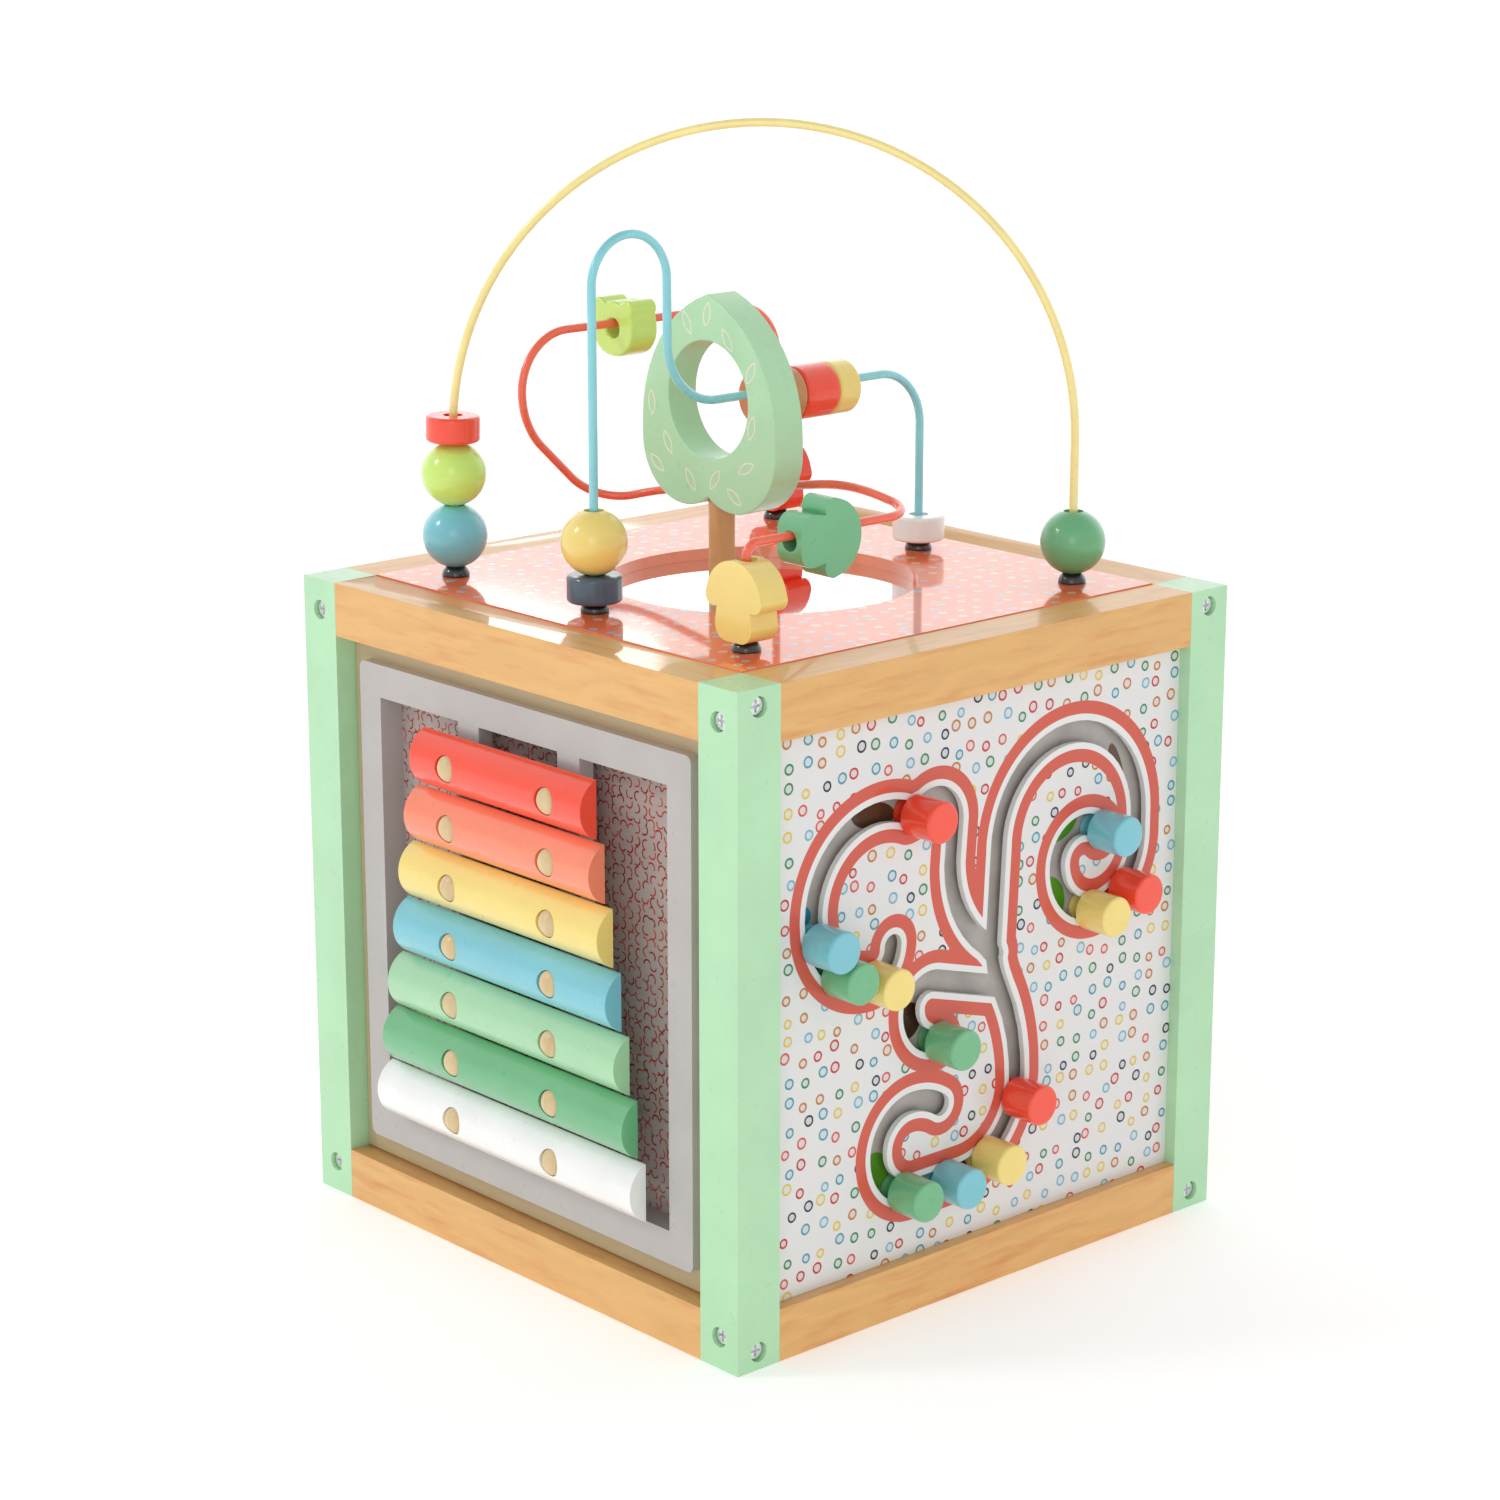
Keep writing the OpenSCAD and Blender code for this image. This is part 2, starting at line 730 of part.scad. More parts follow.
module ball_blue() { ball_bead(feet[0], stack_z, blue); }
module ball_lime() { ball_bead(feet[0], stack_z + ball_h + bead_gap, lime); }
module ball_green() { ball_bead(feet[4], stack_z, green); }
module drum_navy() { standing_drum(feet[1], navy); }
module ball_yellow() { ball_bead(feet[1], stack_z + drum_l + bead_gap, yellow); }
module drum_white() { standing_drum(feet[3], "white"); }

arch_drum_angle = 1.05;                // place of the red drum on the arch

module drum_red_arch() {
    color(red) rotate(45) translate([0, 0, arch_z]) rotate([0, arch_drum_angle, 0])
        translate([-arch_r, 0, -drum_l / 2]) drum(drum_l);
}

coral_y = -4.5;
coral_l = 12.6;
wood_l = 8.6;
red_l = 20;
yellow_l = 13;
wood_y = coral_y + coral_l + bead_gap;
red_y = wood_y + wood_l + bead_gap;
yellow_y = red_y + red_l + bead_gap;

module drum_coral() { run_drum(coral_y, coral_l, "#FF9A7C"); }
module drum_wood() { run_drum(wood_y, wood_l, "#D8A06A"); }
module drum_red() { run_drum(red_y, red_l, red); }
module drum_yellow() { run_drum(yellow_y, yellow_l, yellow); }

mushroom_t = 15.2;
cap_half = 17.5;
cap_low = 14;                          // height of the cap's lower lip
cap_peak = 35;
crown_arc_r = 17.2;                    // bend of the cap's top
stalk_half = 11.5;
stalk_edge = 7;
lip_r = 5;

// Right half of a mushroom's outline, standing on the origin
mushroom_half = concat(
    arc([stalk_half - stalk_edge, stalk_edge], stalk_edge, -90, 0, 15),
    arc([cap_half - lip_r, cap_low + lip_r], lip_r, -115, 5, 15),
    arc([0, cap_peak - crown_arc_r], crown_arc_r, 14, 90, 9)
);

// A mushroom-shaped bead with its hole along Z, standing on z = 0
module mushroom() {
    difference() {
        rotate([90, 0, 0]) translate([0, 0, -mushroom_t / 2])
            linear_extrude(mushroom_t) polygon(concat(mushroom_half, mirrored(mushroom_half)));
        bead_bore(cap_peak);
    }
}

module mushroom_yellow() { color(yellow) translate([feet[2][0], feet[2][1], stack_z]) mushroom(); }
module mushroom_red() { color(red) translate([feet[5][0], feet[5][1], stack_z]) mushroom(); }

green_y = -75.5;                       // stalk end of the green mushroom bead

module mushroom_green() {
    color(green) translate([foot_pitch, green_y, level_z - hang]) rotate([-90, 90, 0]) mushroom();
}

tulip_y = -5;
tulip_t = 16;
tulip_r = 13.2;
tulip_flat = 1.6;                      // half of the level stretch underneath
petal_x = 10.2;
petal_z = 9.8;
petal_r = 4.2;
middle_petal_top = 13;
middle_petal_r = 8;

// Right half of the lime bead's outline: round below, waisted, then an outer and a middle petal
tulip_half = concat(
    arc([tulip_flat, 0], tulip_r, -90, 8, 14),
    arc([petal_x, petal_z], petal_r, -35, 125, 20),
    arc([0, middle_petal_top - middle_petal_r], middle_petal_r, 52, 90, 13)
);

module tulip_lime() {
    color(lime) translate([-foot_pitch, tulip_y, upper_z - hang]) difference() {
        rotate([90, 0, 0]) translate([0, 0, -tulip_t])
            linear_extrude(tulip_t) polygon(concat(tulip_half, mirrored(tulip_half)));
        rotate([-90, 0, 0]) bead_bore(tulip_t);
    }
}

corner_posts();
top_rails();
bottom_rails();
assembly_screws();
base_panel();
left_panel();
rear_panel();
top_support_board();
mirror_disc();
top_panel();
wire_caps();
wire_nuts();
arch_wire();
loop_wire();
winding_wire();
tree_trunk();
tree_crown();
xylophone_surround();
xylophone_frame();
xylophone_back();
felt_washers();
bar_pegs();
bar_red();
bar_coral();
bar_yellow();
bar_blue();
bar_mint();
bar_green();
bar_white();
maze_floor();
maze_board();
knob_red_crest();
knob_blue_left();
knob_green_left();
knob_yellow_hook();
knob_green_middle();
knob_red_low();
knob_yellow_low();
knob_blue_low();
knob_green_low();
knob_blue_spiral();
knob_red_spiral();
knob_yellow_spiral();
ball_blue();
ball_lime();
drum_red_arch();
ball_green();
drum_navy();
ball_yellow();
drum_coral();
drum_wood();
drum_red();
drum_yellow();
drum_white();
mushroom_yellow();
mushroom_green();
tulip_lime();
mushroom_red();
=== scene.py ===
"""Looks of the wooden activity cube: materials, prints, round wires, soft edges, light and camera.

Everything is in metres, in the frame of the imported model: front is -Y, right is +X, up is +Z.
"""

import json
import math

import bmesh
import bpy
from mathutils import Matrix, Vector


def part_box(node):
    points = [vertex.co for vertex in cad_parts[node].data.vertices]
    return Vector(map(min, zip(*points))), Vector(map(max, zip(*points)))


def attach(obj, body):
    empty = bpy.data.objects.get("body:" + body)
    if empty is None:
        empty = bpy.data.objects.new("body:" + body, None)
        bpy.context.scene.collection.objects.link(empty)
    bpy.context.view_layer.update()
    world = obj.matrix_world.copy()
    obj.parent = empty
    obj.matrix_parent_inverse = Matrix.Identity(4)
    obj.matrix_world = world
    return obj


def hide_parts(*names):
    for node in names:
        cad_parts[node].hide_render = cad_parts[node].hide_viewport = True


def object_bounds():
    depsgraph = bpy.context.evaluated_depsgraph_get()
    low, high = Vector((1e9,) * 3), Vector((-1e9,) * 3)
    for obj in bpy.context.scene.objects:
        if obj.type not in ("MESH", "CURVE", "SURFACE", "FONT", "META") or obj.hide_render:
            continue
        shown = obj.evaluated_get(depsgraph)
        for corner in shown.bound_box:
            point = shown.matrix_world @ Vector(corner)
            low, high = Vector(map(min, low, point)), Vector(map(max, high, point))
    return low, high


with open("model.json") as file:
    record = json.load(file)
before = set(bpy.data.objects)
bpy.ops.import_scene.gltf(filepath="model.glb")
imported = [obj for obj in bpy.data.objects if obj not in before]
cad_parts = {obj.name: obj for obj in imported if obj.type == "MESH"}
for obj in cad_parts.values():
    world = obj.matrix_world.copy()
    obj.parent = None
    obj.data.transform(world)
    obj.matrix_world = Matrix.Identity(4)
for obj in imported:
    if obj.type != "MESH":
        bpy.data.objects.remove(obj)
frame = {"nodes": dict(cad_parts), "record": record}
CAD_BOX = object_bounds()
NODES = frame["nodes"]
SLOT_OF = {row["node"]: row["material_slot"] for row in frame["record"]["subparts"]}
MM = 0.001
RAIL_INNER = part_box("top_panel")[1].x      # half of the clear space between the rails

# Paint and print colours, as sRGB
COLOURS = {
    "red": "#FF4C30", "coral": "#FF8C6A", "yellow": "#F9DF7F", "blue": "#7BC8D6", "green": "#6FBB86",
    "lime": "#CFF075", "navy": "#475E72", "mint": "#B7E5B9", "grey": "#BDB8B5", "white": "#FAFAF9",
}


def colour(code):
    """Linear RGBA of an sRGB colour such as #FF8040."""
    channels = [int(code[i:i + 2], 16) / 255 for i in (1, 3, 5)]
    return [c / 12.92 if c <= 0.04045 else ((c + 0.055) / 1.055) ** 2.4 for c in channels] + [1.0]


def shaded(code, factor):
    """The same colour, darker or lighter by a factor."""
    return [min(1.0, c * factor) for c in colour(code)[:3]] + [1.0]


# ---------------------------------------------------------------- shader helpers

class NodeTree:
    """Short calls for adding nodes. A value is a number, a colour or another node's output."""

    def __init__(self, tree):
        self.tree = tree

    def feed(self, socket, value):
        if isinstance(value, bpy.types.NodeSocket):
            self.tree.links.new(value, socket)
        else:
            socket.default_value = value

    def node(self, kind, inputs, out=0, **settings):
        made = self.tree.nodes.new("ShaderNode" + kind)
        for key, value in settings.items():
            setattr(made, key, value)
        for key, value in inputs.items():
            self.feed(made.inputs[key], value)
        return made.outputs[out]

    def math(self, operation, a, b=0.0, c=0.0):
        return self.node("Math", {0: a, 1: b, 2: c}, operation=operation)

    def vector(self, operation, a, b=(0, 0, 0), c=(0, 0, 0), out="Vector"):
        return self.node("VectorMath", {0: a, 1: b, 2: c}, out, operation=operation)

    def scaled(self, a, factor):
        return self.node("VectorMath", {0: a, "Scale": factor}, "Vector", operation="SCALE")

    def turned(self, place, angle):
        return self.node("VectorRotate", {"Vector": place, "Angle": angle}, rotation_type="Z_AXIS")

    def place(self):
        """Where the surface point is in the object's own frame, in metres."""
        return self.node("TexCoord", {}, "Object")

    def split(self, place):
        made = self.tree.nodes.new("ShaderNodeSeparateXYZ")
        self.feed(made.inputs[0], place)
        return made.outputs[:]

    def join(self, x, y, z=0.0):
        return self.node("CombineXYZ", {"X": x, "Y": y, "Z": z})

    def noise(self, place, scale, detail=3.0, roughness=0.55, out="Fac"):
        inputs = {"Vector": place, "Scale": scale, "Detail": detail, "Roughness": roughness}
        return self.node("TexNoise", inputs, out)

    def range(self, value, low, high, to_low=0.0, to_high=1.0):
        inputs = {"Value": value, "From Min": low, "From Max": high, "To Min": to_low, "To Max": to_high}
        return self.node("MapRange", inputs, clamp=True)

    def ramp(self, value, stops, interpolation="LINEAR"):
        made = self.tree.nodes.new("ShaderNodeValToRGB")
        self.feed(made.inputs[0], value)
        made.color_ramp.interpolation = interpolation
        elements = made.color_ramp.elements
        while len(elements) < len(stops):
            elements.new(1.0)
        for element, (position, shade) in zip(elements, stops):
            element.position = position
            element.color = shade
        return made.outputs[0]

    def mix(self, share, a, b):
        made = self.tree.nodes.new("ShaderNodeMix")
        made.data_type = "RGBA"
        self.feed(made.inputs[0], share)
        self.feed(made.inputs[6], a)
        self.feed(made.inputs[7], b)
        return made.outputs[2]


class Shader(NodeTree):
    """A material with one surface shader, whose constant values are given by name."""

    def __init__(self, name, **constants):
        self.material = bpy.data.materials.new(name)
        self.material.use_nodes = True
        super().__init__(self.material.node_tree)
        self.surface = self.tree.nodes["Principled BSDF"]
        for socket, value in constants.items():
            self.surface.inputs[socket.replace("_", " ")].default_value = value

    def set(self, **values):
        for key, value in values.items():
            self.feed(self.surface.inputs[key.replace("_", " ")], value)

    def bump(self, height, depth, strength=1.0):
        normal = self.node("Bump", {"Height": height, "Distance": depth, "Strength": strength})
        self.feed(self.surface.inputs["Normal"], normal)


# ---------------------------------------------------------------- paint, wood, metal, felt

WEAR_WIDTH = 1.2 * MM
BARE_WOOD = "#EFE6CF"


def edge_wear(s, radius):
    """1 along outer edges, where paint lies thin, and 0 elsewhere."""
    rounded = s.node("Bevel", {"Radius": radius}, samples=4)
    straight = s.node("NewGeometry", {}, "Normal")
    return s.range(s.vector("DOT_PRODUCT", rounded, straight, out="Value"), 0.97, 0.80)


def painted(name, code, gloss=0.5, wear=0.0):
    """Sprayed paint on sanded wood: cloudy tone, faint fibres under it, and fine orange peel."""
    s = Shader(name, Coat_Weight=gloss, Coat_Roughness=0.06, Specular_IOR_Level=0.35)
    place = s.place()
    cloud = s.noise(place, 28.0, 3.0)
    fibres = s.noise(s.vector("MULTIPLY", place, (160, 160, 1100)), 1.0, 2.0, 0.5)
    tone = s.range(s.math("MULTIPLY_ADD", fibres, 0.35, cloud), 0.45, 0.95)
    base = s.mix(tone, shaded(code, 0.94), shaded(code, 1.04))
    if wear:
        patches = s.range(s.noise(place, 90.0), 0.45, 0.7, 0.2, 1.0)
        worn = s.math("MULTIPLY", edge_wear(s, WEAR_WIDTH), patches)
        base = s.mix(s.math("MULTIPLY", worn, wear), base, colour(BARE_WOOD))
    s.set(Base_Color=base, Roughness=s.range(s.noise(place, 140.0, 4.0), 0.3, 0.7, 0.26, 0.40))
    peel = s.noise(place, 380.0, 1.0)
    s.bump(s.math("MULTIPLY_ADD", fibres, 0.3, peel), 0.02 * MM, 0.4)
    return s.material


def grain_frame(s, along):
    """Object coordinates turned so that the grain runs along the first one."""
    x, y, z = s.split(s.place())
    if along == "rails":
        is_side = s.math("GREATER_THAN", s.math("ABSOLUTE", x), RAIL_INNER)
        first = s.node("Mix", {0: is_side, 2: x, 3: y})
        second = s.node("Mix", {0: is_side, 2: y, 3: x})
        return first, second, z
    order = {"x": (x, y, z), "y": (y, x, z), "z": (z, x, y)}
    return order[along]


def wood(name, code, figure, along, gloss=0.6, streak="#D98F52"):
    """Varnished wood: long fibres, warm streaks, soft growth bands and dark flecks along the grain."""
    s = Shader(name, Coat_Weight=gloss, Coat_Roughness=0.04, Specular_IOR_Level=0.3)
    u, v, w = grain_frame(s, along)

    def stretched(along_scale, across_scale):
        return s.join(*(s.math("MULTIPLY", axis, k) for axis, k in
                        ((u, along_scale), (v, across_scale), (w, across_scale))))

    drift = s.noise(stretched(9, 30), 1.0, 2.0)
    rings = s.math("MULTIPLY", s.math("ADD", v, w), 520.0)
    bands = s.math("SINE", s.math("MULTIPLY_ADD", drift, 38.0, rings))
    streaks = s.noise(stretched(30, 210), 1.0, 3.0)
    fibres = s.noise(stretched(90, 2400), 1.0, 4.0, 0.65)
    flecks = s.range(s.noise(stretched(170, 1500), 1.0, 1.0), 0.66, 0.74)
    base = s.mix(s.range(bands, -1, 1, 0.0, 0.28 * figure), colour(code), shaded(code, 0.86))
    base = s.mix(s.range(streaks, 0.5, 0.78, 0.0, 0.55 * figure), base, colour(streak))
    base = s.mix(s.range(fibres, 0.35, 0.7, 0.0, 0.22), base, shaded(code, 0.80))
    base = s.mix(s.math("MULTIPLY", flecks, 0.16 * figure), base, shaded(streak, 0.75))
    s.set(Base_Color=base, Roughness=s.range(fibres, 0.3, 0.7, 0.30, 0.42))
    s.bump(s.math("MULTIPLY_ADD", flecks, -0.6, fibres), 0.02 * MM, 0.5)
    return s.material


def steel(name):
    """Zinc-plated steel with turned marks and a few dull spots."""
    s = Shader(name, Metallic=0.5)
    place = s.place()
    marks = s.noise(place, 900.0, 3.0)
    s.set(Base_Color=s.ramp(marks, [(0.3, colour("#DDE0E2")), (0.7, colour("#F6F7F8"))]))
    s.set(Roughness=s.range(s.noise(place, 420.0), 0.3, 0.7, 0.16, 0.34))
    s.bump(marks, 0.01 * MM, 0.5)
    return s.material


def enamelled_wire(name, code):
    """Steel wire in thick glossy powder coat."""
    s = Shader(name, Coat_Weight=0.8, Coat_Roughness=0.04)
    place = s.place()
    cloud = s.noise(place, 60.0, 2.0)
    s.set(Base_Color=s.mix(s.range(cloud, 0.3, 0.7), shaded(code, 0.93), shaded(code, 1.03)))
    s.set(Roughness=s.range(s.noise(place, 300.0), 0.3, 0.7, 0.24, 0.36))
    s.bump(s.noise(place, 700.0, 2.0), 0.03 * MM, 0.5)
    return s.material


def moulded(name, code):
    """Gloss plastic with a slight moulding texture."""
    s = Shader(name, Coat_Weight=0.9, Coat_Roughness=0.05)
    place = s.place()
    s.set(Base_Color=s.mix(s.noise(place, 200.0), shaded(code, 0.8), shaded(code, 1.25)))
    s.set(Roughness=s.range(s.noise(place, 260.0, 4.0), 0.3, 0.7, 0.22, 0.38))
    s.bump(s.noise(place, 900.0, 2.0), 0.01 * MM, 0.4)
    return s.material


def felt(name, code):
    """Pressed wool: short tangled fibres and a soft sheen."""
    s = Shader(name, Sheen_Weight=0.4, Sheen_Roughness=0.5)
    place = s.place()
    tangle = s.noise(place, 2600.0, 5.0, 0.7)
    s.set(Base_Color=s.ramp(tangle, [(0.3, shaded(code, 0.7)), (0.7, shaded(code, 1.1))]))
    s.set(Roughness=s.range(tangle, 0.3, 0.7, 0.85, 1.0))
    s.bump(tangle, 0.25 * MM, 0.8)
    return s.material


def mirror(name):
    """Silvered acrylic with faint wiping marks."""
    s = Shader(name, Metallic=1.0)
    place = s.place()
    wipes = s.noise(s.vector("MULTIPLY", place, (40, 220, 1)), 1.0, 4.0, 0.6)
    s.set(Base_Color=s.mix(wipes, colour("#EEF1F1"), colour("#FAFCFC")))
    s.set(Roughness=s.range(wipes, 0.35, 0.75, 0.010, 0.045))
    s.bump(s.noise(place, 18.0, 1.0), 0.01 * MM, 0.3)
    return s.material


# ---------------------------------------------------------------- printed panels

def scattered_cells(s, plane, pitch, randomness, wobble):
    """Distance, colour and centre of the nearest of many scattered points, in units of their pitch."""
    scaled = s.scaled(plane, 1 / pitch)
    shake = s.vector("SUBTRACT", s.noise(scaled, 2.2, 1.0, out="Color"), (0.5, 0.5, 0.5))
    wobbly = s.vector("MULTIPLY_ADD", shake, (wobble, wobble, 0), scaled)
    cells = s.tree.nodes.new("ShaderNodeTexVoronoi")
    cells.voronoi_dimensions = "2D"
    cells.inputs["Scale"].default_value = 1.0
    cells.inputs["Randomness"].default_value = randomness
    s.feed(cells.inputs["Vector"], wobbly)
    away = s.vector("SUBTRACT", wobbly, cells.outputs["Position"])
    return cells.outputs["Distance"], s.split(cells.outputs["Color"]), s.split(away)


def stroke(s, distance, radius, width):
    """1 on a ring of that radius and line width, 0 elsewhere, with a thin soft edge."""
    soft = 0.010
    off = s.math("ABSOLUTE", s.math("SUBTRACT", distance, radius))
    return s.range(off, width / 2 + soft, width / 2 - soft)


def ring_layer(s, plane, base, tints, pitch, radius, width, fill=0.18):
    """Prints small uneven rings over a base colour, one tint to a ring."""
    distance, chance, _ = scattered_cells(s, plane, pitch, 0.55, 0.05)
    size = s.range(chance[1], 0.0, 1.0, radius * 0.86, radius * 1.1)
    stops = [(i / len(tints), colour(tint)) for i, tint in enumerate(tints)]
    tint = s.ramp(chance[0], stops, "CONSTANT")
    inside = s.math("MULTIPLY", s.math("LESS_THAN", distance, size), fill)
    return s.mix(stroke(s, distance, size, width), s.mix(inside, base, tint), tint)


def printed(name, gloss):
    """A shader for printed board under varnish."""
    return Shader(name, Coat_Weight=gloss, Coat_Roughness=0.05, Specular_IOR_Level=0.15)


def finish_print(s, base):
    """Paper fibre and varnish over a print."""
    place = s.place()
    s.set(Base_Color=base, Roughness=s.range(s.noise(place, 220.0, 4.0), 0.3, 0.7, 0.34, 0.46))
    s.bump(s.noise(place, 900.0, 3.0), 0.015 * MM, 0.5)
    return s.material


RING_TINTS = ["#C22F38", "#D4574F", "#C0782F", "#DFC352", "#2F8659", "#4A9AB0", "#78B2CC", "#1D2C46"]
CORAL = "#FF7D4C"
CORAL_SIDE_PAINTED_LIGHT = "#FF9878"                     # the window's wall and the panel's other sides, where no print is, painted lighter than the coral as painted light
# A lighter coral band along the panel's edge: painted reflection, standing in for the rounded edge reflecting
# the room differently from the flat top.
CORAL_EDGE_PAINTED_REFLECTION = "#FF8058"
CORAL_EDGE_WIDTH = 0.8 * MM
CORAL_TINTS = ["#B9CAD6", "#F6D7A6", "#E9C7BC", "#A9C3D4"]
PRINT_GROUND = "#E6E5E4"
RING_PITCH = 9.9 * MM
RING_RADIUS = 0.215                        # in units of the pitch, as the line is
RING_LINE = 0.095


def side_plane(s, facing_x):
    """The two coordinates that lie in a side panel."""
    x, y, z = s.split(s.place())
    return s.join(y if facing_x else x, z)


def side_rings(s, plane):
    """The small coloured rings of the left and right sides."""
    return ring_layer(s, plane, colour(PRINT_GROUND), RING_TINTS, RING_PITCH, RING_RADIUS, RING_LINE)


def ring_panel(name):
    """A side panel covered with rings."""
    s = printed(name, 0.35)
    return finish_print(s, side_rings(s, side_plane(s, True)))


def arc_panel(name):
    """Small red arcs, each turned its own way, on warm grey."""
    s = printed(name, 0.3)
    distance, chance, away = scattered_cells(s, side_plane(s, False), 5.0 * MM, 0.42, 0.10)
    angle = s.math("MULTIPLY_ADD", chance[0], 2 * math.pi, s.math("ARCTAN2", away[1], away[0]))
    half_turn = s.range(s.math("SINE", angle), -0.10, 0.0)
    line = s.math("MULTIPLY", stroke(s, distance, 0.42, 0.16), half_turn)
    tint = s.mix(chance[2], colour("#8A1F20"), colour("#BC5247"))
    return finish_print(s, s.mix(line, colour("#B4A9A3"), tint))


def coral_panel(name):
    """Coral lacquer with pale dots on the upper face, its other faces painted lighter as painted light, and a
    line of painted reflection along the panel's edge.
    """
    s = printed(name, 1.0)
    x, y, _ = s.split(s.place())
    dots = ring_layer(s, s.join(x, y), colour(CORAL), CORAL_TINTS, 10.3 * MM, 0.15, 0.11, 0.6)
    upward = s.split(s.node("NewGeometry", {}, "Normal"))[2]
    # Faces that don't face up take a lighter coral: painted light on the window's wall and the sides.
    base = s.mix(s.math("GREATER_THAN", upward, 0.9), colour(CORAL_SIDE_PAINTED_LIGHT), dots)
    off_centre = s.math("MAXIMUM", s.math("ABSOLUTE", x), s.math("ABSOLUTE", y))
    # Painted reflection along the rounded edge of the panel.
    at_edge = s.math("GREATER_THAN", off_centre, RAIL_INNER - CORAL_EDGE_WIDTH)
    return finish_print(s, s.mix(at_edge, base, colour(CORAL_EDGE_PAINTED_REFLECTION)))


# ---------------------------------------------------------------- the maze's print

# The groove's middle line as arcs: centre along Y, centre along Z, radius, first angle, last angle.
# Straight stretches join one arc to the next.
GROOVES = [
    [(-41.5, 65.5, 30, 54.3, 90), (-41.5, 75, 20.5, 98, 270), (-14, 92.5, 38, 270, 360),
     (-66, 92.5, 90, 5, 28), (57.6, 158.3, 50, 200, 180), (55.2, 200.5, 45.4, 180, 0),
     (71.6, 190, 29, 0, -90), (71.6, 184.9, 23.9, -98, -180), (64.2, 184.9, 16.5, 172, 46)],
    [(59, 152, 50, 180, 180), (31, 200, 50, 235, 180), (-30, 219.5, 12.5, 0, 125),
     (-61.5, 191.5, 40, 66, 180), (-67.5, 191.5, 34, 188, 270), (-67.5, 170.5, 13, -82, 0)],
    [(24, 137, 12, 180, 180), (-31, 137, 12, 72.7, 180), (-26.5, 137, 16.5, 190, 270)],
]
WHITE_EDGE = 8 * MM                        # how far the bands reach from the groove's middle
RED_EDGE = 14 * MM
SOFT_EDGE = 0.12 * MM


def on_arc(arc, angle):
    """The point of an arc at that angle."""
    y, z, radius = (value * MM for value in arc[:3])
    return Vector((y + radius * math.cos(math.radians(angle)), z + radius * math.sin(math.radians(angle)), 0))


def distance_to_arc(s, plane, arc):
    """How far a point of the plane is from an arc of a circle."""
    y, z, radius, first, last = arc
    middle = (first + last) / 2
    half = math.radians(abs(last - first) / 2)
    turned = s.turned(s.vector("SUBTRACT", plane, (y * MM, z * MM, 0)), -math.radians(middle))
    folded = s.vector("ABSOLUTE", turned)
    across = s.split(folded)[1]
    along = s.split(turned)[0]
    off_circle = s.math("ABSOLUTE", s.math("SUBTRACT", s.vector("LENGTH", turned, out="Value"), radius * MM))
    end = (radius * MM * math.cos(half), radius * MM * math.sin(half), 0)
    off_end = s.vector("DISTANCE", s.join(along, across), end, out="Value")
    beyond = s.math("GREATER_THAN", s.math("ARCTAN2", across, along), half)
    return s.node("Mix", {0: beyond, 2: off_circle, 3: off_end})


def distance_to_line(s, plane, a, b):
    """How far a point of the plane is from the straight line between a and b."""
    from_a = s.vector("SUBTRACT", plane, a)
    share = s.vector("DOT_PRODUCT", from_a, (b - a) / (b - a).length_squared, out="Value")
    nearest = s.scaled(b - a, s.range(share, 0.0, 1.0))
    return s.vector("DISTANCE", from_a, nearest, out="Value")


def distance_to_groove(s, plane):
    """How far a point of the plane is from the groove's middle line."""
    nearest = 1.0
    for arcs in GROOVES:
        for i, arc in enumerate(arcs):
            if arc[3] != arc[4]:
                nearest = s.math("MINIMUM", distance_to_arc(s, plane, arc), nearest)
            if i:
                a, b = on_arc(arcs[i - 1], arcs[i - 1][4]), on_arc(arc, arc[3])
                if (b - a).length > 0.5 * MM:
                    nearest = s.math("MINIMUM", distance_to_line(s, plane, a, b), nearest)
    return nearest


def maze_panel(name):
    """Rings, and along the groove a red band with a white one inside it."""
    s = printed(name, 0.55)
    plane = side_plane(s, True)
    base = side_rings(s, plane)
    reach = distance_to_groove(s, plane)
    for edge, tint in ((RED_EDGE, "#D65C4A"), (WHITE_EDGE, "#EAEAE9")):
        base = s.mix(s.range(reach, edge + SOFT_EDGE, edge - SOFT_EDGE), base, colour(tint))
    return finish_print(s, base)


# Printed patches that show through the groove: middle along Y and Z, half sizes, tilt, colour
FLOOR_PATCHES = [
    (-62, 229, 13, 6, -8, "#4A3420"), (-103, 192, 5, 5, 0, "#1F7F96"), (-40, 131, 9, 8, 50, "#3D2818"),
    (20, 92, 4, 5, 0, "#7A1E1E"), (-57, 66, 7, 10, 35, "#4F8A1C"), (-10, 57, 12, 4, 0, "#3A2A1C"),
    (92, 215, 5, 20, 15, "#5C4630"), (55, 201, 11, 6, 20, "#4A8A14"), (50, 169, 8, 11, 30, "#4A8A14"),
    (-92, 163, 8, 8, 0, "#1E3B24"),
]


def maze_floor(name):
    """Grey stained board with soft printed patches."""
    s = printed(name, 0.5)
    plane = side_plane(s, True)
    cloud = s.noise(plane, 60.0, 3.0)
    base = s.mix(s.range(cloud, 0.3, 0.7), colour("#A8A29C"), colour("#BDB7B1"))
    for y, z, half_y, half_z, tilt, tint in FLOOR_PATCHES:
        moved = s.vector("SUBTRACT", plane, (y * MM, z * MM, 0))
        turned = s.turned(moved, math.radians(-tilt))
        reach = s.vector("LENGTH", s.vector("DIVIDE", turned, (half_y * MM, half_z * MM, 1)), out="Value")
        shade = s.mix(cloud, shaded(tint, 0.7), shaded(tint, 1.6))
        base = s.mix(s.range(reach, 1.02, 0.96), base, shade)
    return finish_print(s, base)


# ---------------------------------------------------------------- which look each slot has

